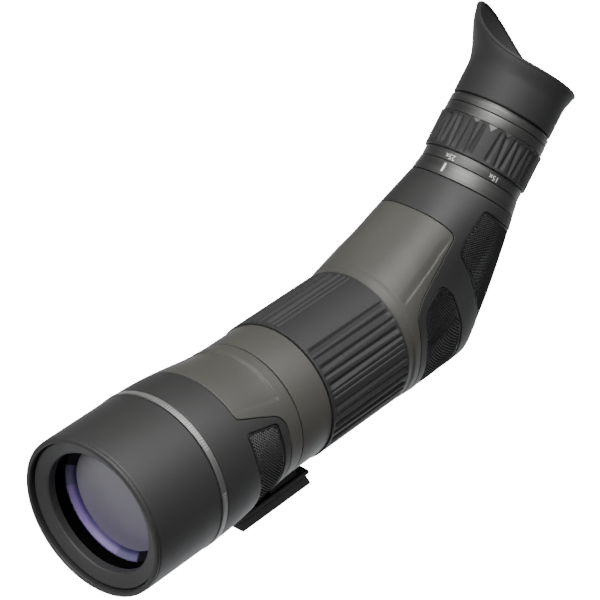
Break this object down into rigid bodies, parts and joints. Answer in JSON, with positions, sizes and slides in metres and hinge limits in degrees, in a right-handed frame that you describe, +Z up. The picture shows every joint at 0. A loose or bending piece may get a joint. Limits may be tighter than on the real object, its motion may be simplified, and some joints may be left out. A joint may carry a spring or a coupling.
{
  "type": "spotting scope",
  "caption": "Angled zoom spotting scope with sliding sunshade, ribbed focus ring, zoom eyepiece with winged twist-up eyecup, and a rotating tripod collar on a dovetail foot.",
  "frame": {"origin": "centre of the mounting foot's flat underside", "axes": "+Y from the objective towards the eyepiece, parallel to the barrel; +Z up, out of the foot towards the barrel; +X to the side that has no lock knob. The barrel axis is at z = 53.4 mm"},
  "size_m": [0.0929, 0.375, 0.1809],
  "materials": {
    "armour": "soft-touch satin, dark charcoal",
    "olive_panel": "satin paint, warm olive grey",
    "black_metal": "black anodised, satin",
    "bright_trim": "fine turned, satin",
    "grey_metal": "dark grey anodised, brushed round the axis",
    "steel": "plain machined",
    "grip_rubber": "moulded matte rubber",
    "seal_rubber": "smooth",
    "grip_pad": "fine diamond texture, matte",
    "bearing_polymer": "smooth",
    "coated_glass": "polished, purple-blue anti-reflection coating",
    "clear_glass": "polished"
  },
  "bodies": {
    "scope_body": {"objective_barrel": "black_metal", "sunshade_brake_ring": "seal_rubber", "trim_ring": "bright_trim", "objective_bezel": "black_metal", "objective_cell": "black_metal", "objective_retaining_ring": "black_metal", "objective_front_lens": "coated_glass", "lens_spacer_ring": "bright_trim", "objective_rear_lens": "coated_glass", "front_baffle": "black_metal", "front_armour": "armour", "front_top_panel": "olive_panel", "front_grip_pad_left": "grip_pad", "front_grip_pad_right": "grip_pad", "main_tube": "black_metal", "rear_baffle": "black_metal", "focus_seal_front": "seal_rubber", "focus_seal_rear": "seal_rubber", "prism_housing": "black_metal", "saddle_panel": "olive_panel", "rear_armour": "armour", "rear_grip_pad": "grip_pad", "side_grip_pad_left": "grip_pad", "side_grip_pad_right": "grip_pad", "roof_prism": "clear_glass", "prism_bracket": "black_metal", "prism_screw_left": "steel", "prism_screw_right": "steel", "index_ring": "grey_metal", "eyepiece_tube": "black_metal", "zoom_seal_ring": "seal_rubber", "eye_lens": "coated_glass", "eye_lens_retainer": "black_metal", "eyepiece_top_ring": "grey_metal"},
    "sunshade": {"sunshade": "armour"},
    "focus_ring": {"focus_ring_core": "black_metal", "focus_grip_sleeve": "grip_rubber"},
    "focus_carriage": {"focus_cell": "black_metal", "focus_lens": "clear_glass", "focus_lens_retainer": "black_metal", "focus_drive_pin": "steel"},
    "zoom_ring": {"zoom_ring_core": "grey_metal", "zoom_grip_sleeve": "grip_rubber", "zoom_cam_sleeve": "bright_trim", "zoom_drive_pin": "steel"},
    "field_carriage": {"field_lens_cell": "black_metal", "field_lens": "clear_glass"},
    "variator_carriage": {"variator_lens_cell": "black_metal", "variator_lens": "clear_glass"},
    "eyecup_carrier": {"eyecup_guide_ring": "black_metal"},
    "eyecup": {"eyecup": "grip_rubber"},
    "collar": {"tripod_collar": "olive_panel", "collar_liner": "bearing_polymer", "mounting_foot": "black_metal", "foot_screw_left": "steel", "foot_screw_right": "steel"},
    "lock_knob": {"collar_lock_knob": "black_metal", "collar_lock_stud": "steel"}
  },
  "joints": [
    {"name": "sunshade_slide", "type": "slide", "parent": "scope_body", "child": "sunshade", "axis": [0, -1, 0], "range_m": [0, 0.03]},
    {"name": "focus_turn", "type": "hinge", "parent": "scope_body", "child": "focus_ring", "pos_m": [0, 0.0513, 0.0534], "axis": [0, 1, 0], "range_deg": [-150, 210]},
    {"name": "focus_travel", "type": "slide", "parent": "scope_body", "child": "focus_carriage", "axis": [0, 1, 0], "range_m": [-0.01, 0.014]},
    {"name": "zoom_turn", "type": "hinge", "parent": "scope_body", "child": "zoom_ring", "pos_m": [0, 0.1308, 0.0534], "axis": [0, 0.7071, 0.7071], "range_deg": [-54, 62]},
    {"name": "field_travel", "type": "slide", "parent": "scope_body", "child": "field_carriage", "axis": [0, 0.7071, 0.7071], "range_m": [-0.0053, 0.006]},
    {"name": "variator_travel", "type": "slide", "parent": "scope_body", "child": "variator_carriage", "axis": [0, 0.7071, 0.7071], "range_m": [-0.0039, 0.0034]},
    {"name": "eyecup_rise", "type": "slide", "parent": "scope_body", "child": "eyecup_carrier", "axis": [0, 0.7071, 0.7071], "range_m": [0, 0.0091]},
    {"name": "eyecup_twist", "type": "hinge", "parent": "eyecup_carrier", "child": "eyecup", "pos_m": [0, 0.1308, 0.0534], "axis": [0, 0.7071, 0.7071], "range_deg": [0, 120]},
    {"name": "collar_turn", "type": "hinge", "parent": "scope_body", "child": "collar", "pos_m": [0, 0.0086, 0.0534], "axis": [0, 1, 0], "continuous": true},
    {"name": "lock_knob_turn", "type": "hinge", "parent": "collar", "child": "lock_knob", "pos_m": [0, 0.0086, 0.0534], "axis": [-0.866, 0, -0.5], "range_deg": [0, 270]}
  ],
  "couplings": [
    {"joint": "focus_travel", "follows": "focus_turn", "m_per_rad": 0.0038},
    {"joint": "field_travel", "follows": "zoom_turn", "m_per_rad": 0.0055},
    {"joint": "variator_travel", "follows": "zoom_turn", "m_per_rad": -0.0035},
    {"joint": "eyecup_rise", "follows": "eyecup_twist", "m_per_rad": 0.0043}
  ]
}
